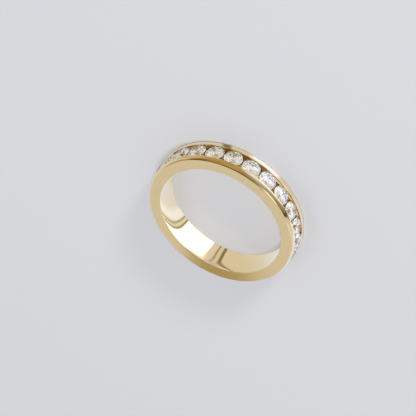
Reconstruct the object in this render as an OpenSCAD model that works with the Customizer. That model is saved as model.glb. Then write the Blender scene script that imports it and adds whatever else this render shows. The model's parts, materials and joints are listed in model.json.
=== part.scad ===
// Channel set band: a finger ring whose rim holds a full circle of round brilliants between two rails.
// Sizes are millimetres and degrees. The ring lies on its side: its axis is Z, one side face is at
// z = 0, and the middle of the first stone is in the direction of +X.

/* [Finger] */
// Inside diameter of the ring
bore_d = 16.5; // [14:0.1:22]

/* [Stones] */
// Diameter of each stone across its girdle
stone_d = 2.4; // [1.6:0.05:3.2]
// Smallest gap between the girdles of two neighbours
stone_gap = 0.06; // [0.02:0.01:0.3]
// Width of the table, corner to corner, as a share of the stone's diameter
table_share = 0.57; // [0.5:0.01:0.65]
// Slope of the eight main facets of the crown
crown_angle = 34.5; // [30:0.5:38]
// How far the star facets reach from the table's edge towards the girdle
star_share = 0.5; // [0.4:0.05:0.6]
// Slope of the eight main facets of the pavilion
pavilion_angle = 40.75; // [39:0.25:43]
// How far the lower girdle facets reach from the girdle towards the culet
lower_share = 0.77; // [0.6:0.01:0.85]
// Thickness of the girdle where it is thickest, as a share of the stone's diameter
girdle_share = 0.03; // [0.025:0.005:0.06]
// Turn of each stone about its own axis, counted from the stone before it
stone_turn = 17; // [0:1:44]

/* [Channel] */
// How far each rail's lip reaches in over the girdles
lip_reach = 0.15; // [0.08:0.01:0.25]
// Clearance between a stone and the metal that holds it
seat_gap = 0.03; // [0.01:0.005:0.06]
// Metal left between the bore and the tip of each stone's seat
seat_wall = 0.23; // [0.08:0.01:0.6]
// Metal between the bore and the floor of the channel
floor_t = 0.65; // [0.3:0.05:0.9]
// Metal over the girdles, from the top of their groove in the channel's wall to the crest of the rail
lip_t = 0.1; // [0.08:0.01:0.4]

/* [Rails] */
// Width of each rail, from its side face to the channel
rail_w = 0.75; // [0.55:0.05:2]
// How far the rail's domed top falls from its crest to the side face
rail_fall = 0.25; // [0.1:0.01:0.4]
// How far it falls from its crest to the channel's edge
dome_drop = 0.01; // [0.005:0.005:0.05]
// Rounding between the side face and the domed top
shoulder_r = 0.07; // [0.03:0.01:0.3]
// Rounding of the channel's edge
lip_r = 0.04; // [0.01:0.01:0.08]
// Rounding between the bore and each side face
bore_edge_r = 0.08; // [0.03:0.01:0.3]

/* [Hidden] */
// A brilliant has eight main facets round its crown, and as many round its pavilion
mains = 8;
main_step = 360 / mains;
girdle_points = 4 * mains;
girdle_step = 360 / girdle_points;

// Heights of a stone above its culet
stone_r = stone_d / 2;
girdle_t = girdle_share * stone_d;
girdle_low = stone_r * tan(pavilion_angle);
girdle_high = girdle_low + girdle_t;
table_r = table_share * stone_r;
table_z = girdle_high + (stone_r - table_r) * tan(crown_angle);

// Where a star, two mains and two upper girdle facets meet, and where two mains and two lower ones do
star_in = table_r * cos(main_step / 2);
star_r = star_in + star_share * (stone_r - star_in);
star_z = girdle_high + (stone_r - star_r * cos(main_step / 2)) * tan(crown_angle);
lower_r = (1 - lower_share) * stone_r;
lower_z = girdle_low - (stone_r - lower_r * cos(main_step / 2)) * tan(pavilion_angle);

// Slopes of the ridges that run from those points to the girdle: no facet stands outside them
crown_slope = (star_z - girdle_high) / (stone_r - star_r);
pavilion_slope = (girdle_low - lower_z) / (stone_r - lower_r);
culet_slope = lower_z / lower_r;

// Widths along the ring's axis, from the middle of the channel
channel_half = stone_r - lip_reach;
groove_half = stone_r + seat_gap;
band_half = channel_half + rail_w;

// The groove in the channel's wall that takes the girdles, as heights above a culet: where its two
// faces meet its bottom, and where they come out at the wall. They follow the stones' steepest ridges
// at the seat's clearance.
groove_depth = groove_half - channel_half;
groove_high = girdle_high + seat_gap * (norm([1, crown_slope]) - crown_slope);
groove_low = girdle_low - seat_gap * (norm([1, pavilion_slope]) - pavilion_slope);
groove_top = groove_high + groove_depth * crown_slope;
groove_foot = groove_low - groove_depth * pavilion_slope;

// Radii from the ring's axis
bore_r = bore_d / 2;
culet_at = bore_r + seat_wall + seat_gap;
floor_at = bore_r + floor_t;
crest_at = culet_at + groove_top + lip_t;

// How many stones go round with the smallest gap, and the angle from one to the next
girdle_at = culet_at + girdle_low;
least_pitch = 2 * (atan(stone_r / girdle_at) + asin(stone_gap / 2 / norm([girdle_at, stone_r])));
stone_count = floor(360 / least_pitch);
pitch = 360 / stone_count;

// The domed top of a rail is one arc, from the channel's edge over the crest to the side face. The
// crest lies dome_run in from the channel's edge.
fall_left = rail_fall - dome_drop;
dome_run = (sqrt(dome_drop * rail_fall * (pow(rail_w, 2) + pow(fall_left, 2))) - dome_drop * rail_w)
    / fall_left;
dome_r = (pow(dome_run, 2) + pow(dome_drop, 2)) / (2 * dome_drop);
crest_half = channel_half + dome_run;
shoulder = min(shoulder_r, 0.9 * (rail_w - dome_run));
dome_end = asin((rail_w - dome_run - shoulder) / (dome_r - shoulder));
shoulder_at = crest_at - dome_r * (1 - cos(dome_end)) - shoulder * cos(dome_end);
dome_start = asin(dome_run / dome_r);

// Steps in each rounded stretch of the band's outline, then the sides of the turned band and of a seat
dome_steps = 4;
shoulder_steps = 6;
edge_steps = 4;
round_fn = 144;
seat_fn = 48;

function stone_name(i) = str("stone_", i < 10 ? "0" : "", i);

// Points of an arc in the plane of [radius, distance from the channel's middle]
function arc(centre, r, from, to, steps) =
    [for (i = [0:steps]) let (a = from + (to - from) * i / steps) centre + r * [cos(a), sin(a)]];

// Half of the band's outline, from the bore to the middle of the channel. The arc at the channel's
// edge turns from the dome to the channel's wall.
function half_outline() = concat(
    [[bore_r, 0]],
    arc([bore_r + bore_edge_r, band_half - bore_edge_r], bore_edge_r, 180, 90, edge_steps),
    arc([shoulder_at, band_half - shoulder], shoulder, 90, dome_end, shoulder_steps),
    [for (p = arc([crest_at - dome_r, crest_half], dome_r, dome_end, -dome_start, dome_steps))
        if (p[1] > channel_half + lip_r) p],
    arc([crest_at - dome_drop - lip_r, channel_half + lip_r], lip_r, 0, -90, edge_steps),
    [
        [culet_at + groove_top, channel_half],
        [culet_at + groove_high, groove_half],
        [culet_at + groove_low, groove_half],
        [culet_at + groove_foot, channel_half],
        [floor_at, channel_half],
        [floor_at, 0]
    ]);

// Both halves: the second is the first one mirrored and read backwards
function outline() = let (half = half_outline(), last = len(half) - 1)
    concat(half, [for (i = [last - 1:-1:1]) [half[i][0], -half[i][1]]]);

// A seat bored for one pavilion, from just under its culet to above the channel's floor
module seat() {
    spread = seat_gap * norm([1, 1 / culet_slope]);
    top = floor_at - culet_at + seat_gap;
    translate([0, 0, -seat_gap])
        cylinder(h = seat_gap + top, r1 = spread - seat_gap / culet_slope,
            r2 = spread + top / culet_slope, $fn = seat_fn);
}

// Points on a circle, counted from the direction of a main facet
function level(count, r, z, first = 0) =
    [for (i = [0:count - 1]) let (a = first + i * 360 / count) [r * cos(a), r * sin(a), z]];

// Points of one edge of the girdle. Every second point is in the middle of a girdle facet, whose
// plane meets the round girdle further down or up by scallop.
function girdle_edge(z, scallop) =
    [for (i = [0:girdle_points - 1]) let (a = i * girdle_step)
        [stone_r * cos(a), stone_r * sin(a), i % 2 == 0 ? z : z + scallop]];

// A round brilliant with its culet at the origin and its table up
module brilliant() {
    rise = stone_r * (1 - cos(girdle_step)) / cos(girdle_step);
    upper_fall = rise * (star_z - girdle_high) / (stone_r - star_r);
    lower_fall = rise * (girdle_low - lower_z) / (stone_r - lower_r);
    points = concat(
        level(mains, table_r, table_z),
        level(mains, star_r, star_z, main_step / 2),
        girdle_edge(girdle_high, -upper_fall),
        girdle_edge(girdle_low, lower_fall),
        level(mains, lower_r, lower_z, main_step / 2),
        [[0, 0, 0]]);
    star = mains;
    high = star + mains;
    low = high + girdle_points;
    lower = low + girdle_points;
    culet = lower + mains;
    facets = concat(
        [[for (i = [mains - 1:-1:0]) i]],
        [for (i = [0:mains - 1]) let (
                next = (i + 1) % mains,
                before = (i + mains - 1) % mains,
                g = [for (j = [0:4]) (4 * i + j) % girdle_points])
            each [
                [i, next, star + i],
                [i, star + i, high + g[0], star + before],
                [star + i, high + g[2], high + g[1], high + g[0]],
                [star + i, high + g[4], high + g[3], high + g[2]],
                [lower + i, low + g[0], low + g[1], low + g[2]],
                [lower + i, low + g[2], low + g[3], low + g[4]],
                [culet, lower + before, low + g[0], lower + i]
            ]],
        [for (i = [0:girdle_points - 1]) let (next = (i + 1) % girdle_points)
            [high + i, high + next, low + next, low + i]]);
    polyhedron(points, facets, convexity = 2);
}

// Puts a child that stands on the origin onto the ring, where stone i has its culet
module on_ring(i)
    rotate([0, 0, (i - 1) * pitch]) translate([culet_at, 0, band_half]) rotate([0, 90, 0]) children();

module band()
    color("#d8c08a")
    difference() {
        translate([0, 0, band_half]) rotate_extrude($fn = round_fn) polygon(outline());
        for (i = [1:stone_count]) on_ring(i) seat();
    }

module stone(i)
    color("#f2f3f5")
    on_ring(i) rotate([0, 0, i * stone_turn]) brilliant();

band();
for (i = [1:stone_count])
    stone(i);
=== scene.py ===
"""Looks of a channel set band: a gold finger ring whose rim holds a full circle of round brilliants.

The ring lies on its side and its axis is Z. Lengths are metres and angles are degrees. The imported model
gives the place and the outer sizes of every piece. The sizes that stand here are those of the band's
section and of a stone's cut, which a box can't give.
"""

import json
import logging
import math
from dataclasses import dataclass
from enum import Enum
from functools import cached_property

import bpy
import numpy as np
from mathutils import Matrix, Vector


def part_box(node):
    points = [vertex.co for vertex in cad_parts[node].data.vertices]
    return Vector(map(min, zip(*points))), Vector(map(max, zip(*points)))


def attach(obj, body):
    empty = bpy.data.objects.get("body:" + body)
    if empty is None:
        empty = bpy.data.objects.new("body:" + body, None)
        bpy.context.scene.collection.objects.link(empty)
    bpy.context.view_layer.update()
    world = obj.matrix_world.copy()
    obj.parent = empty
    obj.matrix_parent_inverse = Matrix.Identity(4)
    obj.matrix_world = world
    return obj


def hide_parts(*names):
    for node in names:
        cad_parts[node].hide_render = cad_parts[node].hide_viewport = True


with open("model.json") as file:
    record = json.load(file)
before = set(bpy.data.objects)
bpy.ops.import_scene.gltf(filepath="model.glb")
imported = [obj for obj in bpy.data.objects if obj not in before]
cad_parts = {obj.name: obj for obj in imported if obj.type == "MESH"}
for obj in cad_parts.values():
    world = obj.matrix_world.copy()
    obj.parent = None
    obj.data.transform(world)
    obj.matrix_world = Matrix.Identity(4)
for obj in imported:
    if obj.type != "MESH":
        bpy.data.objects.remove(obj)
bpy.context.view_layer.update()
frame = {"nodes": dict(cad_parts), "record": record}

MM = 0.001
MICRON = 0.001 * MM
BODY = "root"
log = logging.getLogger("channel_set_band")

Pair = tuple[float, float]
Colour = tuple[float, float, float]
Piece = bpy.types.Object
Tree = bpy.types.NodeTree
Socket = bpy.types.NodeSocket


class Zone(Enum):
    """Kinds of stretch in the band's surface, which differ in their finish or their unevenness."""

    BORE = "bore"
    EDGE = "edge"
    FACE = "face"
    RAIL = "rail"
    LIP = "lip"
    CHANNEL = "channel"


class Graph:
    """A node tree being wired. A Mix node's sockets share their names, so their numbers stand here."""

    MIX_COLOURS = (6, 7)
    MIXED_COLOUR = 2
    MIX_NUMBERS = (2, 3)

    def __init__(self, tree: Tree) -> None:
        """Starts on the node tree of a material, a world or a group, and clears it."""
        self.tree = tree
        tree.nodes.clear()

    def add(self, kind: str, inputs: dict | None = None, **settings: object) -> bpy.types.Node:
        """Adds one node.

        Args:
            kind: the node's type, where the prefix "ShaderNode" may be left out.
            inputs: values or sockets for the node's inputs, by name or by number.
            settings: properties of the node itself.

        Returns:
            The new node.
        """
        node = self.tree.nodes.new(kind if kind.startswith("Node") else "ShaderNode" + kind)
        for name, value in settings.items():
            setattr(node, name, value)
        for name, value in (inputs or {}).items():
            self.feed(node.inputs[name], value)
        return node

    def feed(self, target: Socket, value: object) -> None:
        """Links a socket to an input, or sets the input's own value.

        Args:
            target: the input.
            value: the socket or the plain value.
        """
        if isinstance(value, Socket):
            self.tree.links.new(value, target)
        else:
            target.default_value = value

    def math(self, operation: str, *values: object) -> Socket:
        """A Math node on up to three values or sockets."""
        return self.add("Math", dict(enumerate(values)), operation=operation).outputs[0]

    def vector(self, operation: str, *values: object) -> bpy.types.NodeOutputs:
        """The outputs of a Vector Math node on up to three values or sockets: a vector, then a number."""
        return self.add("VectorMath", dict(enumerate(values)), operation=operation).outputs

    def clamped(self, value: object, low: float, high: float, smooth: bool = True) -> Socket:
        """How far a value has gone from low to high, from 0 to 1.

        Args:
            value: the socket to read.
            low: the value that gives 0.
            high: the value that gives 1.
            smooth: whether the way between eases in and out.

        Returns:
            The output socket.
        """
        node = self.add("MapRange", {"Value": value, "From Min": low, "From Max": high})
        node.interpolation_type = "SMOOTHSTEP" if smooth else "LINEAR"
        return node.outputs[0]

    def blend(self, share: object, first: object, second: object) -> Socket:
        """A colour that goes from the first to the second as share goes from 0 to 1.

        Args:
            share: the number or socket that says how far to go.
            first: the first colour or its socket.
            second: the second colour or its socket.

        Returns:
            The output socket.
        """
        node = self.add("Mix", {0: share}, data_type="RGBA")
        for number, colour in zip(self.MIX_COLOURS, (first, second)):
            self.feed(node.inputs[number], colour if isinstance(colour, Socket) else (*colour, 1.0))
        return node.outputs[self.MIXED_COLOUR]

    def between(self, share: object, first: object, second: object) -> Socket:
        """A number that goes from the first to the second as share goes from 0 to 1."""
        ends = dict(zip(self.MIX_NUMBERS, (first, second)))
        return self.add("Mix", {0: share, **ends}, data_type="FLOAT").outputs[0]


def arc(centre: Pair, radius: float, start: float, end: float, count: int) -> np.ndarray:
    """Points of an arc but for its last: the centre plus the radius times an angle's cosine and sine."""
    angles = np.radians(np.linspace(start, end, count, endpoint=False))
    return np.array(centre) + radius * np.stack([np.cos(angles), np.sin(angles)], 1)


def straight(start: Pair, end: Pair, count: int) -> np.ndarray:
    """Points of a straight stretch but for its last, closer at both ends as a cosine falls off."""
    share = (1 - np.cos(np.linspace(0, np.pi, count, endpoint=False))) / 2
    return np.array(start) + share[:, None] * (np.array(end) - np.array(start))


def turned(points: np.ndarray, degrees: float) -> np.ndarray:
    """Points turned about the Z axis: each row times the rotation matrix of the angle."""
    cosine, sine = math.cos(math.radians(degrees)), math.sin(math.radians(degrees))
    return points @ np.array([[cosine, -sine, 0], [sine, cosine, 0], [0, 0, 1]]).T


def make_piece(name: str, points: np.ndarray, faces: list) -> Piece:
    """A mesh object at the origin, with its place in its points.

    Args:
        name: the piece's name.
        points: one row for each vertex.
        faces: lists of vertex numbers.

    Returns:
        The new object, linked to the scene.
    """
    mesh = bpy.data.meshes.new(name)
    mesh.from_pydata(points.tolist(), [], faces)
    mesh.update()
    piece = bpy.data.objects.new(name, mesh)
    bpy.context.scene.collection.objects.link(piece)
    return piece


def set_attribute(piece: Piece, name: str, values: np.ndarray, domain: str = "POINT") -> None:
    """Stores one number for each vertex or face of a piece, for its material to read."""
    layer = piece.data.attributes.new(name, "FLOAT", domain)
    layer.data.foreach_set("value", values.astype(np.float32))


def dress(piece: Piece, material: bpy.types.Material, node: str) -> None:
    """Gives a piece its material and puts it in place of its node.

    Args:
        piece: the finished piece.
        material: its material.
        node: the node that it stands for.
    """
    piece.data.materials.append(material)
    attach(piece, BODY)
    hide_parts(node)


def new_material(name: str) -> tuple[bpy.types.Material, Graph]:
    """Starts a material.

    Args:
        name: the material's name.

    Returns:
        The material and the graph to wire it with.
    """
    material = bpy.data.materials.new(name)
    material.use_nodes = True
    return material, Graph(material.node_tree)


@dataclass(frozen=True)
class BrilliantCut:
    """Proportions of a round brilliant that stands on its culet at the origin, with its table up."""

    diameter: float = 2.4 * MM
    table_share: float = 0.57
    crown_angle: float = 34.5
    star_share: float = 0.5
    pavilion_angle: float = 40.75
    lower_share: float = 0.77
    girdle_share: float = 0.03
    mains: int = 8
    girdle_sides: int = 64

    @property
    def radius(self) -> float:
        """Radius of the girdle."""
        return self.diameter / 2

    @property
    def half_step(self) -> float:
        """Half the angle between two main facets, in radians."""
        return math.pi / self.mains

    @property
    def girdle_low(self) -> float:
        """Height of the girdle's lower edge where it is thickest."""
        return self.radius * math.tan(math.radians(self.pavilion_angle))

    @property
    def girdle_high(self) -> float:
        """Height of the girdle's upper edge where it is thickest."""
        return self.girdle_low + self.girdle_share * self.diameter

    @property
    def table(self) -> Pair:
        """Radius and height of the table's corners."""
        radius = self.table_share * self.radius
        return radius, self.girdle_high + (self.radius - radius) * math.tan(math.radians(self.crown_angle))

    @property
    def star(self) -> Pair:
        """The points where a star facet meets the upper girdle facets.

        Returns:
            Their radius and height.
        """
        inner = self.table[0] * math.cos(self.half_step)
        radius = inner + self.star_share * (self.radius - inner)
        rise = (self.radius - radius * math.cos(self.half_step)) * math.tan(math.radians(self.crown_angle))
        return radius, self.girdle_high + rise

    @property
    def lower(self) -> Pair:
        """The points where the lower girdle facets end.

        Returns:
            Their radius and height.
        """
        radius = (1 - self.lower_share) * self.radius
        fall = (self.radius - radius * math.cos(self.half_step)) * math.tan(math.radians(self.pavilion_angle))
        return radius, self.girdle_low - fall

    @property
    def crown_slope(self) -> float:
        """Slope of the steepest ridge of the crown."""
        return (self.star[1] - self.girdle_high) / (self.radius - self.star[0])

    @property
    def pavilion_slope(self) -> float:
        """Slope of the steepest ridge of the pavilion's upper part."""
        return (self.girdle_low - self.lower[1]) / (self.radius - self.lower[0])

    @property
    def culet_slope(self) -> float:
        """Slope of the ridges that run to the culet."""
        return self.lower[1] / self.lower[0]

    def level(self, count: int, radius: float, height: float, first: float = 0.0) -> np.ndarray:
        """Points evenly round a circle at one height, the first at an angle given in radians."""
        angles = first + 2 * np.pi * np.arange(count) / count
        return np.stack([radius * np.cos(angles), radius * np.sin(angles), np.full(count, height)], 1)

    def girdle_edge(self, height: float, slope: float) -> np.ndarray:
        """One scalloped edge of the girdle.

        Each girdle facet is a plane that meets the round girdle in a curve. Across half the step between
        two mains, the curve leaves the height by the slope times how far the round girdle bulges past
        its chord, over the cosine of a quarter step.

        Args:
            height: the height where the girdle is thickest.
            slope: the rise of the facet's ridges away from the stone's axis, negative for the crown.

        Returns:
            One point for each side of the girdle.
        """
        edge = self.level(self.girdle_sides, self.radius, height)
        angles = 2 * np.pi * np.arange(self.girdle_sides) / self.girdle_sides
        middle = self.half_step / 2
        bulge = np.cos(angles % self.half_step - middle) / math.cos(middle) - 1
        edge[:, 2] += slope * self.radius * bulge
        return edge

    def points(self) -> np.ndarray:
        """All points of the cut.

        Returns:
            One row each for the table's corners, the star points, the upper and the lower edge of the
            girdle, the lower points and the culet.
        """
        return np.concatenate([
            self.level(self.mains, *self.table),
            self.level(self.mains, *self.star, self.half_step),
            self.girdle_edge(self.girdle_high, -self.crown_slope),
            self.girdle_edge(self.girdle_low, self.pavilion_slope),
            self.level(self.mains, *self.lower, self.half_step),
            np.zeros((1, 3)),
        ])

    def facets(self) -> tuple[list, int]:
        """All facets as lists of point numbers.

        They are the table, the stars, the crown's mains, its girdle facets, the pavilion's girdle facets,
        its mains, and the sides of the girdle. Each girdle facet runs along a few sides. The rows go
        round clockwise as seen from outside, so each one is turned over at the end.

        Returns:
            The facets, and how many of them, at the end, are the girdle's sides.
        """
        main = np.arange(self.mains)[:, None]
        after, before = (main + 1) % self.mains, (main - 1) % self.mains
        run = self.girdle_sides // (2 * self.mains)
        star = self.mains
        high = star + self.mains
        low = high + self.girdle_sides
        lower = low + self.girdle_sides
        culet = np.full_like(main, lower + self.mains)
        first = (2 * run * main + np.arange(run + 1)) % self.girdle_sides
        second = (first + run) % self.girdle_sides
        side = np.arange(self.girdle_sides)[:, None]
        beside = (side + 1) % self.girdle_sides
        groups = [
            main[::-1].T,
            [main, after, star + main],
            [main, star + main, high + first[:, :1], star + before],
            [star + main, high + first[:, ::-1]],
            [star + main, high + second[:, ::-1]],
            [lower + main, low + first],
            [lower + main, low + second],
            [culet, lower + before, low + first[:, :1], lower + main],
            [high + side, high + beside, low + beside, low + side],
        ]
        rows = [np.hstack(group) if isinstance(group, list) else group for group in groups]
        return [row[::-1] for group in rows for row in group.tolist()], self.girdle_sides


@dataclass
class Stones:
    """The full circle of brilliants, each one a piece of its own.

    Turn is how many degrees each stone is turned about its own axis past the one before it. Lean is how
    many degrees each one tips in its seat, and lean_step the angle in radians from the side to which one
    tips to the side to which the next one does.
    """

    cut: BrilliantCut
    count: int
    culet_radius: float
    middle_height: float
    turn: float = 17.0
    lean: float = 0.6
    lean_step: float = 2.4

    def placed(self, number: int) -> np.ndarray:
        """The points of one stone where it sits in the ring.

        The stone turns about its own axis and leans about the middle of its girdle's lower edge. Its axis
        then points away from the ring's axis.

        Args:
            number: the stone's number, from 1.

        Returns:
            One row for each of the cut's points.
        """
        points = turned(self.cut.points(), number * self.turn)
        points[:, 2] -= self.cut.girdle_low
        way = self.lean_step * number
        tip = Matrix.Rotation(math.radians(self.lean), 3, Vector((math.cos(way), math.sin(way), 0)))
        points = points @ np.array(tip).T
        outwards = self.culet_radius + self.cut.girdle_low + points[:, 2]
        set_in = np.stack([outwards, points[:, 1], self.middle_height - points[:, 0]], 1)
        return turned(set_in, (number - 1) * 360 / self.count)

    def build(self, finish: "DiamondFinish") -> list[Piece]:
        """Makes every stone and puts it in place of its node.

        Args:
            finish: the stones' finish.

        Returns:
            The stones in order.
        """
        stones = []
        material = finish.build()
        facets, sides = self.cut.facets()
        on_girdle = np.zeros(len(facets))
        on_girdle[-sides:] = 1
        for number in range(1, self.count + 1):
            stone = make_piece(f"brilliant_{number:02d}", self.placed(number), facets)
            set_attribute(stone, "girdle", on_girdle, "FACE")
            dress(stone, material, f"stone_{number:02d}")
            stones.append(stone)
        return stones


@dataclass
class Band:
    """The gold band: one section carried round the axis, with seats sunk into the channel's floor.

    The steps count the points of each stretch of the section. Those of the wall are for its five
    stretches from the lip down: the wall over the groove, the groove's two faces with its bottom between
    them, and the wall over the floor. Each wave in the polished bore gives how often it rises in one turn
    of the ring, how many radians it gains for each metre across the band, and its phase.
    """

    cut: BrilliantCut
    bore_radius: float
    crest_radius: float
    width: float
    stone_count: int
    culet_radius: float
    lip_reach: float = 0.15 * MM
    seat_gap: float = 0.03 * MM
    floor_thickness: float = 0.65 * MM
    rail_fall: float = 0.25 * MM
    dome_drop: float = 0.01 * MM
    shoulder_radius: float = 0.07 * MM
    lip_radius: float = 0.04 * MM
    bore_edge: float = 0.08 * MM
    press: float = 0.008 * MM
    wander: float = 0.005 * MM
    wander_ease: float = 0.4 * MM
    waves: tuple[tuple[int, float, float], ...] = ((7, 900.0, 0.0), (11, -1300.0, 2.0), (17, 2100.0, 4.0))
    sharp_angle: float = 38.0
    bore_steps: int = 9
    edge_steps: int = 8
    face_steps: int = 12
    shoulder_steps: int = 12
    dome_steps: int = 12
    lip_steps: int = 7
    wall_steps: tuple[int, ...] = (5, 6, 3, 6, 8)
    floor_steps: int = 25
    columns_per_stone: int = 20

    @property
    def half(self) -> float:
        """Half of the band's width."""
        return self.width / 2

    @property
    def channel_half(self) -> float:
        """Half of the channel's width between the lips."""
        return self.cut.radius - self.lip_reach

    @property
    def floor_radius(self) -> float:
        """Distance from the axis to the channel's floor."""
        return self.bore_radius + self.floor_thickness

    @property
    def dome(self) -> Pair:
        """Radius of the rail's domed top, and how far in from the channel's edge its crest lies.

        The top is one arc that falls by dome_drop to the channel's edge and by rail_fall to the side
        face. Each fall is the radius less the arc's height over half a chord, which gives two equations
        for the radius and the crest's place.

        Returns:
            The radius and the crest's place.
        """
        rail, drop = self.half - self.channel_half, self.dome_drop
        left = self.rail_fall - drop
        run = (math.sqrt(drop * self.rail_fall * (rail ** 2 + left ** 2)) - drop * rail) / left
        return (run ** 2 + drop ** 2) / (2 * drop), run

    def groove(self) -> list[Pair]:
        """Corners of the groove that takes the girdles.

        Its slopes are those of the stones' steepest ridges, moved off by the seat's clearance.

        Returns:
            The corners from the lip to the floor.
        """
        up, down = self.cut.crown_slope, self.cut.pavilion_slope
        outer = self.cut.radius + self.seat_gap
        reach = outer - self.channel_half
        top = self.culet_radius + self.cut.girdle_high + self.seat_gap * (math.hypot(1, up) - up)
        bottom = self.culet_radius + self.cut.girdle_low - self.seat_gap * (math.hypot(1, down) - down)
        return [
            (top + reach * up, self.channel_half),
            (top, outer),
            (bottom, outer),
            (bottom - reach * down, self.channel_half),
        ]

    def half_section(self) -> list[tuple[Zone, np.ndarray]]:
        """Half of the section, from the middle of the bore to the edge of the channel's floor.

        The shoulder's arc touches the side face and, from inside, the dome. The angle of that point on
        the dome has the sine of how far the arc's centre lies past the crest over the difference of the
        two radii.

        Returns:
            The stretches in order, each as its zone and its points.
        """
        dome, run = self.dome
        crest = self.channel_half + run
        shoulder = self.shoulder_radius
        end = math.asin((self.half - crest - shoulder) / (dome - shoulder))
        shoulder_at = self.crest_radius - dome * (1 - math.cos(end)) - shoulder * math.cos(end)
        lip_at = self.crest_radius - self.dome_drop - self.lip_radius
        lip_side = self.channel_half + self.lip_radius
        lip_angle = math.degrees(math.asin((lip_side - crest) / dome))
        edge_at, edge_side = self.bore_radius + self.bore_edge, self.half - self.bore_edge
        dome_angle = math.degrees(end)
        wall = [(lip_at, self.channel_half), *self.groove(), (self.floor_radius, self.channel_half)]
        return [
            (Zone.BORE, straight((self.bore_radius, 0), (self.bore_radius, edge_side), self.bore_steps)),
            (Zone.EDGE, arc((edge_at, edge_side), self.bore_edge, 180, 90, self.edge_steps)),
            (Zone.FACE, straight((edge_at, self.half), (shoulder_at, self.half), self.face_steps)),
            (Zone.EDGE, arc((shoulder_at, self.half - shoulder), shoulder, 90, dome_angle,
                            self.shoulder_steps)),
            (Zone.RAIL, arc((self.crest_radius - dome, crest), dome, dome_angle, lip_angle, self.dome_steps)),
            (Zone.LIP, arc((lip_at, lip_side), self.lip_radius, lip_angle, -90, self.lip_steps)),
            *((Zone.CHANNEL, straight(*ends)) for ends in zip(wall, wall[1:], self.wall_steps)),
        ]

    def section(self) -> tuple[np.ndarray, np.ndarray]:
        """The closed section: half of it, the floor's points, and the mirrored half read backwards.

        Returns:
            One row for each point, with its distances from the axis and from the channel's middle, and
            the names of the points' zones.
        """
        stretches = self.half_section()
        side = np.concatenate([points for _, points in stretches])
        names = np.repeat([zone.value for zone, _ in stretches], [len(points) for _, points in stretches])
        across = np.linspace(self.channel_half, -self.channel_half, self.floor_steps)
        floor = np.stack([np.full_like(across, self.floor_radius), across], 1)
        zone = np.concatenate([names, np.full(len(floor), Zone.CHANNEL.value), names[:0:-1]])
        return np.concatenate([side, floor, side[:0:-1] * (1, -1)]), zone

    def surface(self) -> tuple[np.ndarray, np.ndarray, np.ndarray]:
        """The band's points on a grid of section points and columns round the axis.

        Each column turns the section about Z. On the floor, a point's distance from the axis is the
        lower of the floor's and the cone's of the nearest seat, whose height grows with the distance from
        the seat's axis. The lip is pressed in by a share that is 1 beside each stone and 0 between two.
        The bore wanders by the mean of slow sine waves, as hand polishing leaves it.

        Returns:
            The points, one row each, how far each lies under the crest, and the section points' zones.
        """
        section, zone = self.section()
        columns = self.columns_per_stone * self.stone_count
        angle = 2 * np.pi * np.arange(columns) / columns
        radius, across = (np.repeat(values[:, None], columns, 1) for values in section.T)
        pitch = 2 * np.pi / self.stone_count
        off = (angle + pitch / 2) % pitch - pitch / 2
        slope = self.cut.culet_slope
        spread = np.hypot(self.floor_radius * off, across)
        seat = self.culet_radius - self.seat_gap * math.hypot(1, slope) + slope * spread
        floor = (zone == Zone.CHANNEL.value) & (np.abs(section[:, 1]) < self.channel_half)
        floor &= np.abs(section[:, 0] - self.floor_radius) < self.seat_gap
        radius[floor] = np.minimum(radius, seat)[floor]
        pressed = self.press * (0.5 + 0.5 * np.cos(self.stone_count * angle)) ** 2
        lip = zone == Zone.LIP.value
        radius[lip] -= pressed
        across[lip] -= np.sign(across[lip]) * pressed
        bore = zone == Zone.BORE.value
        waves = [np.sin(turns * angle + climb * across + phase) for turns, climb, phase in self.waves]
        height = sum(waves) / len(waves)
        ease = np.clip((self.half - self.bore_edge - np.abs(across)) / self.wander_ease, 0, 1)
        radius[bore] += (self.wander * height * ease)[bore]
        points = np.stack([radius * np.cos(angle), radius * np.sin(angle), self.half + across], 2)
        return points.reshape(-1, 3), (self.crest_radius - radius).reshape(-1), zone

    def build(self, finish: "GoldFinish") -> Piece:
        """Makes the band, stores what its finish reads, and puts it in place of its node.

        Args:
            finish: the band's finish.

        Returns:
            The band.
        """
        points, depth, zone = self.surface()
        rows, columns = len(zone), len(points) // len(zone)
        number = np.arange(rows * columns).reshape(rows, columns)
        down = np.roll(number, -1, 0)
        faces = np.stack([number, down, np.roll(down, -1, 1), np.roll(number, -1, 1)], 2).reshape(-1, 4)
        band = make_piece("gold_band", points, faces.tolist())
        band.data.shade_smooth()
        band.data.set_sharp_from_angle(angle=math.radians(self.sharp_angle))
        zone = np.repeat(zone, columns)
        set_attribute(band, "satin", (zone == Zone.FACE.value).astype(float))
        set_attribute(band, "worn", np.isin(zone, (Zone.EDGE.value, Zone.LIP.value)).astype(float))
        down_in = np.clip(depth / (self.crest_radius - self.floor_radius), 0, 1)
        set_attribute(band, "inside", (zone == Zone.CHANNEL.value) * down_in)
        dress(band, finish.build(), "band")
        return band


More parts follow.
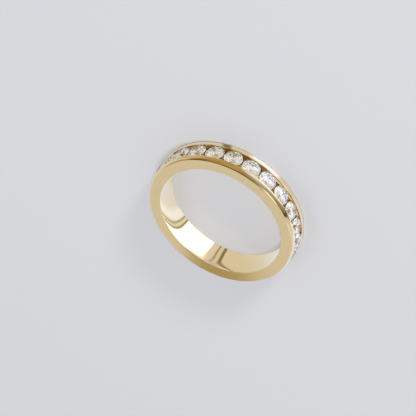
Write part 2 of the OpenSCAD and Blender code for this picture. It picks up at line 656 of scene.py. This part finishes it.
class Effects:
    """Shader node groups for the finishes. Each is built once, when a finish first asks for it.

    The smudges are two noises, of which the finer one has patches that are smaller by a ratio and counts
    by a share. What rises over a level, less the cover asked for, is smudged, and it fades in over the
    edge's height.
    """

    FINER_RATIO = 5.3
    FINER_SHARE = 0.35
    SMUDGE_LEVEL = 0.62
    SMUDGE_EDGE = 0.2

    def group(self, name: str, inputs: tuple[str, ...],
              output: str) -> tuple[Graph, bpy.types.NodeOutputs, Socket]:
        """Starts a group that makes one number from others.

        Args:
            name: the group's name.
            inputs: names of its inputs.
            output: name of its output.

        Returns:
            The graph to wire, the outputs of its input node and the socket that takes the result.
        """
        tree = bpy.data.node_groups.new(name, "ShaderNodeTree")
        for socket in inputs:
            tree.interface.new_socket(socket, in_out="INPUT", socket_type="NodeSocketFloat")
        tree.interface.new_socket(output, in_out="OUTPUT", socket_type="NodeSocketFloat")
        graph = Graph(tree)
        return graph, graph.add("NodeGroupInput").outputs, graph.add("NodeGroupOutput").inputs[output]

    @cached_property
    def polish(self) -> Tree:
        """Fine lines that a polishing wheel leaves along the ring's turn.

        The pattern is noise on four numbers: the direction from the axis, which changes slowly along a
        line, and the height and the distance from the axis, which change fast across it.

        Returns:
            The group's tree.
        """
        graph, given, result = self.group("polish lines", ("Lines per Metre", "Breaks"), "Lines")
        place = graph.add("TexCoord").outputs["Object"]
        parts = graph.add("SeparateXYZ", {0: place}).outputs
        flat = graph.add("CombineXYZ", {0: parts[0], 1: parts[1]}).outputs[0]
        away, way = graph.vector("LENGTH", flat)[1], graph.vector("NORMALIZE", flat)[0]
        slow = graph.add("VectorMath", {0: way, "Scale": given["Breaks"]}, operation="SCALE").outputs[0]
        ways = graph.add("SeparateXYZ", {0: slow}).outputs
        height = graph.math("MULTIPLY", parts[2], given["Lines per Metre"])
        across = graph.math("MULTIPLY", away, given["Lines per Metre"])
        vector = graph.add("CombineXYZ", {0: ways[0], 1: ways[1], 2: height}).outputs[0]
        noise = graph.add("TexNoise", {
            "Vector": vector, "W": across, "Scale": 1.0, "Detail": 3.0, "Roughness": 0.6,
        }, noise_dimensions="4D")
        graph.feed(result, noise.outputs[0])
        return graph.tree

    @cached_property
    def smudges(self) -> Tree:
        """Soft patches of skin grease and dust, from two sizes of noise.

        Returns:
            The group's tree.
        """
        graph, given, result = self.group("smudges", ("Patches per Metre", "Cover"), "Mask")
        place = graph.add("TexCoord").outputs["Object"]
        broad = graph.add("TexNoise", {
            "Vector": place, "Scale": given["Patches per Metre"], "Detail": 4.0, "Roughness": 0.55,
            "Distortion": 0.6}).outputs[0]
        finer = graph.math("MULTIPLY", given["Patches per Metre"], self.FINER_RATIO)
        small = graph.add("TexNoise", {"Vector": place, "Scale": finer, "Detail": 3.0}).outputs[0]
        mixed = graph.between(self.FINER_SHARE, broad, small)
        above = graph.math("SUBTRACT", mixed, graph.math("SUBTRACT", self.SMUDGE_LEVEL, given["Cover"]))
        graph.feed(result, graph.clamped(above, 0.0, self.SMUDGE_EDGE))
        return graph.tree


@dataclass(frozen=True)
class GoldFinish:
    """Pale yellow gold: polished on bore and rails, satin on the side faces, with painted shade in the
    channel.

    Polished, satin and channel are roughnesses. Streaks and haze are what the polish lines and smudges
    add to them, and shine is what wear takes off. The channel shade is painted shade: a darker, warmer
    gold deep in the channel. The two depths say over which shares of the way down into the channel the
    painted shade and roughness set in.
    """

    effects: Effects
    colour: Colour = (0.93, 0.735, 0.42)
    warmer: Colour = (0.90, 0.665, 0.335)
    # Painted shade: darker, warmer gold that stands for the shade deep in the channel
    channel_shade: Colour = (0.80, 0.60, 0.31)
    polished: float = 0.055
    satin: float = 0.23
    channel: float = 0.24
    lines_per_metre: float = 14000.0
    line_breaks: float = 9.0
    line_streaks: float = 0.06
    line_relief: float = 0.5 * MICRON
    line_strength: float = 0.5
    polished_relief: float = 0.35
    smudges_per_metre: float = 420.0
    smudge_cover: float = 0.12
    smudge_tint: float = 0.35
    smudge_haze: float = 0.05
    worn_shine: float = 0.02
    shade_depth: Pair = (0.25, 0.85)
    rough_depth: Pair = (0.05, 0.5)

    def build(self) -> bpy.types.Material:
        """Wires the finish.

        Returns:
            The gold material.
        """
        material, graph = new_material("polished_gold")
        satin = graph.add("Attribute", attribute_name="satin").outputs["Fac"]
        worn = graph.add("Attribute", attribute_name="worn").outputs["Fac"]
        inside = graph.add("Attribute", attribute_name="inside").outputs["Fac"]
        lines = graph.add("Group", {
            "Lines per Metre": self.lines_per_metre, "Breaks": self.line_breaks,
        }, node_tree=self.effects.polish).outputs[0]
        smudge = graph.add("Group", {
            "Patches per Metre": self.smudges_per_metre, "Cover": self.smudge_cover,
        }, node_tree=self.effects.smudges).outputs[0]
        tone = graph.blend(graph.math("MULTIPLY", smudge, self.smudge_tint), self.colour, self.warmer)
        # Painted shade: the colour turns darker and warmer down into the channel
        colour = graph.blend(graph.clamped(inside, *self.shade_depth), tone, self.channel_shade)
        base = graph.between(satin, self.polished, self.satin)
        streaks = graph.math("MULTIPLY", graph.math("SUBTRACT", lines, 0.5), self.line_streaks)
        haze = graph.math("MULTIPLY", smudge, self.smudge_haze)
        rough = graph.math("ADD", graph.math("ADD", base, streaks), haze)
        burnished = graph.math("SUBTRACT", rough, graph.math("MULTIPLY", worn, self.worn_shine))
        roughness = graph.between(graph.clamped(inside, *self.rough_depth), burnished, self.channel)
        height = graph.math("MULTIPLY", lines, graph.between(satin, self.polished_relief, 1.0))
        bump = graph.add("Bump", {
            "Height": height, "Strength": self.line_strength, "Distance": self.line_relief})
        shader = graph.add("BsdfPrincipled", {
            "Base Color": colour, "Metallic": 1.0, "Roughness": roughness, "Normal": bump.outputs[0]})
        graph.add("OutputMaterial", {"Surface": shader.outputs[0]})
        return material


@dataclass(frozen=True)
class DiamondFinish:
    """Clear diamond with clean facets and a frosted girdle."""

    effects: Effects
    refraction: float = 2.417
    frosted: float = 0.45
    hazed: float = 0.05
    smudges_per_metre: float = 900.0
    smudge_cover: float = 0.05

    def build(self) -> bpy.types.Material:
        """Wires the finish.

        Returns:
            The diamond material.
        """
        material, graph = new_material("diamond")
        girdle = graph.add("Attribute", attribute_name="girdle").outputs["Fac"]
        smudge = graph.add("Group", {
            "Patches per Metre": self.smudges_per_metre, "Cover": self.smudge_cover,
        }, node_tree=self.effects.smudges).outputs[0]
        clean = graph.math("MULTIPLY", smudge, self.hazed)
        roughness = graph.between(girdle, clean, self.frosted)
        shader = graph.add("BsdfPrincipled", {
            "Base Color": (1.0, 1.0, 1.0, 1.0), "Metallic": 0.0, "Roughness": roughness,
            "IOR": self.refraction, "Transmission Weight": 1.0})
        graph.add("OutputMaterial", {"Surface": shader.outputs[0]})
        return material


@dataclass(frozen=True)
class Card:
    """A soft-edged patch of light or shade that only reflections see, on the floor or in the sky.

    It spans spread degrees to both sides of its azimuth, and soft is how many degrees that edge takes to
    each side. Low and high are distances from its fan's centre in millimetres on the floor, and
    elevations in degrees in the sky, and feather is their edges' softness in the same unit.
    """

    azimuth: float
    spread: float
    low: float
    high: float
    colour: Colour
    soft: float = 4.0
    feather: float = 0.4


@dataclass(frozen=True)
class Fan:
    """Cards on the floor that spread from one centre, given in millimetres from the ring's axis."""

    centre: Pair
    cards: tuple[Card, ...]


@dataclass(frozen=True)
class Reflections:
    """What gold and stones mirror: even light with cards of light and shade, as a studio has them.

    What is seen through the stones has a light and a shade instead, each as its colours at the -X and at
    the +X side, and shade_edge gives the heights of a slow noise between which light turns into shade.
    """

    floor: Colour = (0.72, 0.74, 0.76)
    sky: Colour = (0.70, 0.71, 0.74)
    fans: tuple[Fan, ...] = (
        Fan((0.0, 0.0), (
            # Wide brown and grey shade, with a cooler stretch in it
            Card(-58, 42, 12.6, 4000, (0.47, 0.345, 0.155), 12, 1.2),
            Card(-30, 10, 12.6, 40, (0.62, 0.56, 0.42), 6, 2.0),
            Card(-127, 24, 17.5, 4000, (0.38, 0.385, 0.33), 5, 2.0),
            Card(-99, 14, 13.0, 30, (0.66, 0.72, 0.92), 6, 3.0),
            # Cool light inside the ring and beside it
            Card(164, 32, 0.0, 9.2, (0.775, 0.865, 1.10), 19, 0.5),
            Card(164, 22, 9.6, 45, (0.85, 0.93, 1.24), 8, 0.5),
            # Bright and dark arcs close round the ring, with one dark stripe that runs outwards
            Card(-156, 24, 9.0, 14.0, (0.82, 0.88, 1.05), 5, 1.0),
            Card(-162, 17, 11.0, 15.5, (1.0, 1.09, 1.45), 5, 1.0),
            Card(-141, 11, 12.6, 4000, (0.36, 0.35, 0.32), 5, 0.5),
            Card(-104, 17, 12.0, 14.3, (1.12, 1.24, 1.70), 5, 1.2),
            Card(-113, 20, 11.2, 12.9, (1.35, 1.48, 2.0), 5, 0.4),
            Card(-98, 12.5, 9.0, 11.0, (1.14, 1.28, 1.90), 4, 0.6),
            Card(-70, 7, 11.0, 14.0, (0.36, 0.30, 0.16), 4, 0.8),
            Card(-65, 3.5, 9.0, 10.9, (0.22, 0.20, 0.11), 2, 0.3),
        )),
        Fan((-2.8, -5.7), (
            # Dark stripes that end the light along the near rail
            Card(-157, 7, 6.2, 4000, (0.27, 0.26, 0.17), 1.2, 0.5),
            Card(-161.3, 3.0, 6.2, 4000, (0.11, 0.10, 0.05), 1.4, 0.5),
        )),
        Fan((0.25, 4.1), (
            # Cool light, the bright patch and the dark stripes that the bore mirrors
            Card(12, 20, 5.0, 8.4, (0.78, 0.87, 1.14), 6, 0.9),
            Card(14, 26, 0.0, 5.6, (0.83, 0.91, 1.20), 5, 0.5),
            Card(27, 7, 0.0, 5.6, (0.99, 1.12, 1.60), 6, 0.5),
            Card(72, 28, 0.0, 5.4, (2.0, 2.1, 2.5), 2.5, 0.3),
            Card(35, 1.6, 0.8, 5.4, (0.50, 0.50, 0.48), 0.8, 0.3),
            Card(41.5, 1.3, 0.8, 5.4, (0.36, 0.35, 0.28), 0.7, 0.3),
            Card(105, 4.5, 0.0, 5.4, (0.80, 0.76, 0.92), 1.2, 0.3),
            Card(113, 1.2, 0.0, 5.4, (0.32, 0.30, 0.20), 0.8, 0.3),
            Card(122.5, 2.2, 0.0, 5.4, (0.24, 0.215, 0.11), 1.2, 0.3),
        )),
    )
    stone_light: tuple[Colour, Colour] = ((1.42, 1.43, 1.36), (0.80, 0.74, 0.62))
    stone_shade: tuple[Colour, Colour] = ((1.0, 0.98, 0.92), (0.62, 0.54, 0.43))
    shade_scale: float = 2.6
    shade_detail: float = 1.0
    shade_edge: Pair = (0.42, 0.62)
    sky_cards: tuple[Card, ...] = (
        # Brown shade, low and high
        Card(-58, 50, -5, 48, (0.36, 0.27, 0.11), 6, 3),
        Card(-65, 12, -5, 28, (0.46, 0.355, 0.185), 6, 3),
        Card(-100, 12, -5, 48, (0.37, 0.34, 0.25), 6, 3),
        Card(-62, 44, 31, 83, (0.12, 0.082, 0.024), 8, 3),
        Card(86, 70, 62, 82, (0.20, 0.15, 0.07), 20, 4),
        Card(-112, 10, 38, 80, (0.24, 0.21, 0.15), 6, 4),
        Card(-14, 18, 9, 45, (0.17, 0.12, 0.055), 8, 3),
        Card(14, 18, -2, 30, (0.42, 0.36, 0.27), 8, 4),
        # Grey and olive shade close to the floor, and pale light over it and beside it
        Card(-122, 20, -6, 22, (0.40, 0.41, 0.40), 6, 3),
        Card(-168, 9, -6, 17, (0.60, 0.58, 0.54), 4, 4),
        Card(-149, 13.5, -6, 20, (0.22, 0.22, 0.14), 2, 3),
        Card(-159.5, 4.0, -6, 20, (0.09, 0.08, 0.04), 1.5, 3),
        Card(-132, 12, 22, 33, (1.45, 1.5, 1.7), 5, 4),
        Card(178, 10, 2, 34, (0.84, 0.87, 1.0), 6, 4),
        Card(106, 28, -5, 24, (0.30, 0.27, 0.17), 8, 4),
    )

    def patches(self, graph: Graph, way: Socket, second: Socket, base: object,
                cards: tuple[Card, ...]) -> Socket:
        """The base colour with every card laid over it in turn.

        A card's mask is the product of three soft steps: one on the angle between the given direction
        and the card's azimuth, and one on the second coordinate at each of the card's two ends.

        Args:
            graph: the graph to wire.
            way: the horizontal direction as a unit vector.
            second: the distance on the floor, or the elevation in the sky.
            base: the colour, or its socket, where no card lies.
            cards: the cards, the lowest first.

        Returns:
            The resulting colour.
        """
        colour = base
        for card in cards:
            turn = math.radians(card.azimuth)
            middle = (math.cos(turn), math.sin(turn), 0.0)
            aligned = graph.vector("DOT_PRODUCT", way, middle)[1]
            apart = graph.math("DEGREES", graph.math("ARCCOSINE", graph.math("MINIMUM", aligned, 1.0)))
            beside = graph.clamped(apart, card.spread + card.soft, card.spread - card.soft)
            above = graph.clamped(second, card.low - card.feather, card.low + card.feather)
            below = graph.clamped(second, card.high + card.feather, card.high - card.feather)
            mask = graph.math("MULTIPLY", beside, graph.math("MULTIPLY", above, below))
            colour = graph.blend(mask, colour, card.colour)
        return colour

    def on_floor(self, graph: Graph) -> Socket:
        """What reflections see on the floor, by direction and distance from the centre of each fan.

        Args:
            graph: the floor's graph.

        Returns:
            The colour.
        """
        place = graph.add("TexCoord").outputs["Object"]
        colour = self.floor
        for fan in self.fans:
            centre = (fan.centre[0] * MM, fan.centre[1] * MM, 0.0)
            moved = graph.vector("SUBTRACT", place, centre)[0]
            away, way = graph.vector("LENGTH", moved)[1], graph.vector("NORMALIZE", moved)[0]
            colour = self.patches(graph, way, graph.math("DIVIDE", away, MM), colour, fan.cards)
        return colour

    def in_sky(self, graph: Graph) -> Socket:
        """What reflections see in the sky, by azimuth and elevation.

        Args:
            graph: the world's graph.

        Returns:
            The colour.
        """
        parts = graph.add("SeparateXYZ", {0: graph.add("TexCoord").outputs["Generated"]}).outputs
        flat = graph.add("CombineXYZ", {0: parts[0], 1: parts[1]}).outputs[0]
        way = graph.vector("NORMALIZE", flat)[0]
        rise = graph.math("DEGREES", graph.math("ARCSINE", parts[2]))
        return self.patches(graph, way, rise, self.sky, self.sky_cards)

    def in_stones(self, graph: Graph) -> Socket:
        """What is seen through the stones: bright light with shade between, both warmer towards +X.

        Args:
            graph: the world's graph.

        Returns:
            The colour.
        """
        way = graph.add("TexCoord").outputs["Generated"]
        side = graph.clamped(graph.add("SeparateXYZ", {0: way}).outputs[0], -1.0, 1.0, smooth=False)
        patch = graph.add("TexNoise", {
            "Vector": way, "Scale": self.shade_scale, "Detail": self.shade_detail}).outputs[0]
        light, shade = graph.blend(side, *self.stone_light), graph.blend(side, *self.stone_shade)
        return graph.blend(graph.clamped(patch, *self.shade_edge), light, shade)


@dataclass(frozen=True)
class Panel:
    """A round soft lamp that faces the ring, with its distance and width in metres and power in watts."""

    name: str
    azimuth: float
    elevation: float
    distance: float
    width: float
    power: float


@dataclass
class Studio:
    """The pale floor, the soft light and the camera.

    Light_top is the sine of the elevation over which the sky has its high light. Flag_core is the share
    of the flag's reach over which it stays solid. The camera's clip gives its nearest and farthest metre.
    """

    face_height: float
    reflections: Reflections = Reflections()
    floor_reach: float = 4.0
    floor_colour: Colour = (0.78, 0.785, 0.815)
    floor_roughness: float = 0.55
    backdrop: Colour = (0.68, 0.69, 0.72)
    low_light: Colour = (0.25, 0.24, 0.235)
    high_light: Colour = (0.30, 0.305, 0.32)
    light_top: float = 0.9
    panels: tuple[Panel, ...] = (
        Panel("key", -110.0, 73.0, 1.2, 0.50, 6.9),
        Panel("low", -95.0, 14.5, 1.2, 0.20, 5.4),
        Panel("fill", 20.0, 66.0, 1.3, 0.60, 1.2),
    )
    flag_place: tuple[float, float, float] = (-2.9 * MM, 17.6 * MM, 11.2 * MM)
    flag_half: float = 7.0 * MM
    flag_core: float = 0.3
    flag_colour: Colour = (0.42, 0.355, 0.20)
    camera_azimuth: float = -93.5
    camera_elevation: float = 40.33
    camera_roll: float = -145.32
    camera_distance: float = 370.8 * MM
    focal_px: float = 3000.0
    picture_px: float = 416.0
    face_centre_px: Pair = (219.8, 221.6)
    sensor: float = 36.0
    clip: Pair = (0.01, 20.0)
    bounces: int = 28

    def build(self) -> None:
        """Makes the camera, the floor, the world and the lights."""
        self.add_camera()
        self.add_floor()
        self.add_world()
        self.add_flag()
        self.add_lights()
        scene = bpy.context.scene
        scene.view_settings.view_transform = "Standard"
        scene.cycles.max_bounces = scene.cycles.glossy_bounces = self.bounces
        scene.cycles.transmission_bounces = self.bounces

    def towards(self, azimuth: float, elevation: float) -> Vector:
        """Unit vector from the ring in a direction given by azimuth and elevation in degrees."""
        turn, rise = math.radians(azimuth), math.radians(elevation)
        return Vector((math.cos(rise) * math.cos(turn), math.cos(rise) * math.sin(turn), math.sin(rise)))

    def add_camera(self) -> None:
        """A long lens at the photograph's angle.

        The camera looks along its azimuth and elevation and rolls about its own axis. It then slides
        sideways, so that the middle of the upper side face falls on its place in the picture.
        """
        data = bpy.data.cameras.new("camera")
        data.sensor_width = self.sensor
        data.lens = self.sensor * self.focal_px / self.picture_px
        data.clip_start, data.clip_end = self.clip
        back = self.towards(self.camera_azimuth, self.camera_elevation)
        upright = back.to_track_quat("Z", "Y").to_matrix()
        turn = upright @ Matrix.Rotation(math.radians(self.camera_roll), 3, "Z")
        scale = self.camera_distance / self.focal_px
        right = (self.face_centre_px[0] - self.picture_px / 2) * scale
        down = (self.face_centre_px[1] - self.picture_px / 2) * scale
        target = Vector((0, 0, self.face_height))
        place = target + back * self.camera_distance - turn.col[0] * right + turn.col[1] * down
        camera = bpy.data.objects.new("camera", data)
        camera.matrix_world = Matrix.Translation(place) @ turn.to_4x4()
        bpy.context.scene.collection.objects.link(camera)
        bpy.context.scene.camera = camera

    def add_floor(self) -> None:
        """A plain matt sheet under the ring, in whose place reflections see the cards.

        A ray that leaves a stone counts as glossy and as transmitted at once, and sees the plain sheet.
        """
        corners = np.array([[-1, -1, 0], [1, -1, 0], [1, 1, 0], [-1, 1, 0]]) * self.floor_reach
        floor = make_piece("floor", corners, [[0, 1, 2, 3]])
        material, graph = new_material("floor")
        sheet = graph.add("BsdfPrincipled", {
            "Base Color": (*self.floor_colour, 1.0), "Roughness": self.floor_roughness})
        mirrored = graph.add("Emission", {"Color": self.reflections.on_floor(graph)})
        path = graph.add("LightPath").outputs
        glossy = graph.math("SUBTRACT", path["Is Glossy Ray"], path["Is Transmission Ray"])
        shader = graph.add("MixShader", {0: glossy, 1: sheet.outputs[0], 2: mirrored.outputs[0]})
        graph.add("OutputMaterial", {"Surface": shader.outputs[0]})
        floor.data.materials.append(material)

    def add_world(self) -> None:
        """An even pale studio, which is plainer to the camera than in reflections."""
        world = bpy.data.worlds.new("studio")
        world.use_nodes = True
        graph = Graph(world.node_tree)
        way = graph.add("SeparateXYZ", {0: graph.add("TexCoord").outputs["Generated"]}).outputs
        path = graph.add("LightPath").outputs
        around = graph.blend(graph.clamped(way[2], 0.0, self.light_top), self.low_light, self.high_light)
        mirrored = graph.blend(path["Is Glossy Ray"], around, self.reflections.in_sky(graph))
        through = graph.blend(path["Is Transmission Ray"], mirrored, self.reflections.in_stones(graph))
        seen = graph.blend(path["Is Camera Ray"], through, self.backdrop)
        light = graph.add("Background", {"Color": seen, "Strength": 1.0})
        graph.add("OutputWorld", {"Surface": light.outputs[0]})
        bpy.context.scene.world = world

    def add_flag(self) -> None:
        """A small tan flag just beyond the ring, which shades the far part of the satin face.

        Only reflections see it. Its mask falls off smoothly with the distance from its middle.
        """
        side = self.flag_half
        corners = np.array([[-side, 0, -side], [side, 0, -side], [side, 0, side], [-side, 0, side]])
        flag = make_piece("flag", corners + np.array(self.flag_place), [[0, 1, 2, 3]])
        material, graph = new_material("flag")
        place = graph.add("TexCoord").outputs["Object"]
        off = graph.vector("DISTANCE", place, self.flag_place)[1]
        mask = graph.clamped(off, side, self.flag_core * side)
        clear = graph.add("BsdfTransparent")
        tan = graph.add("Emission", {"Color": (*self.flag_colour, 1.0)})
        shader = graph.add("MixShader", {0: mask, 1: clear.outputs[0], 2: tan.outputs[0]})
        graph.add("OutputMaterial", {"Surface": shader.outputs[0]})
        flag.data.materials.append(material)
        flag.visible_camera = flag.visible_diffuse = flag.visible_shadow = flag.visible_transmission = False

    def add_lights(self) -> None:
        """The soft panels, which light matt surfaces alone: metal and stones mirror the cards instead."""
        for panel in self.panels:
            data = bpy.data.lights.new(panel.name, "AREA")
            data.shape = "DISK"
            data.size = panel.width
            data.energy = panel.power
            lamp = bpy.data.objects.new(panel.name, data)
            back = self.towards(panel.azimuth, panel.elevation)
            facing = back.to_track_quat("Z", "Y").to_matrix().to_4x4()
            lamp.matrix_world = Matrix.Translation(back * panel.distance) @ facing
            lamp.visible_glossy = lamp.visible_transmission = False
            bpy.context.scene.collection.objects.link(lamp)


def mount_radius(name: str) -> float:
    """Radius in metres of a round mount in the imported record."""
    mount = next(m for m in frame["record"]["mounts"] if m["name"] == name)
    return mount["dims"]["r_mm"] * MM


def write_sizes() -> None:
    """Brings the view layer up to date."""
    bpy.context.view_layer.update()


def main() -> None:
    """Builds the studio, the band and the stones, and reports each one."""
    logging.basicConfig(level=logging.INFO, format="%(name)s: %(message)s")
    low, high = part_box("band")
    first_low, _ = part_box("stone_01")
    stones = [name for name in frame["nodes"] if name.startswith("stone_")]
    cut = BrilliantCut()
    effects = Effects()
    studio = Studio(face_height=high.z)
    studio.build()
    log.info("studio: floor, flag and %d panels", len(studio.panels))
    band = Band(
        cut=cut,
        bore_radius=mount_radius("finger_bore"),
        crest_radius=max(high.x, high.y),
        width=high.z - low.z,
        stone_count=len(stones),
        culet_radius=first_low.x,
    )
    brilliants = Stones(
        cut=cut,
        count=len(stones),
        culet_radius=first_low.x,
        middle_height=(low.z + high.z) / 2,
    )
    pieces = [band.build(GoldFinish(effects)), *brilliants.build(DiamondFinish(effects))]
    for piece in pieces:
        log.info("%s: %d faces", piece.name, len(piece.data.polygons))
    write_sizes()


if __name__ == "__main__":
    main()
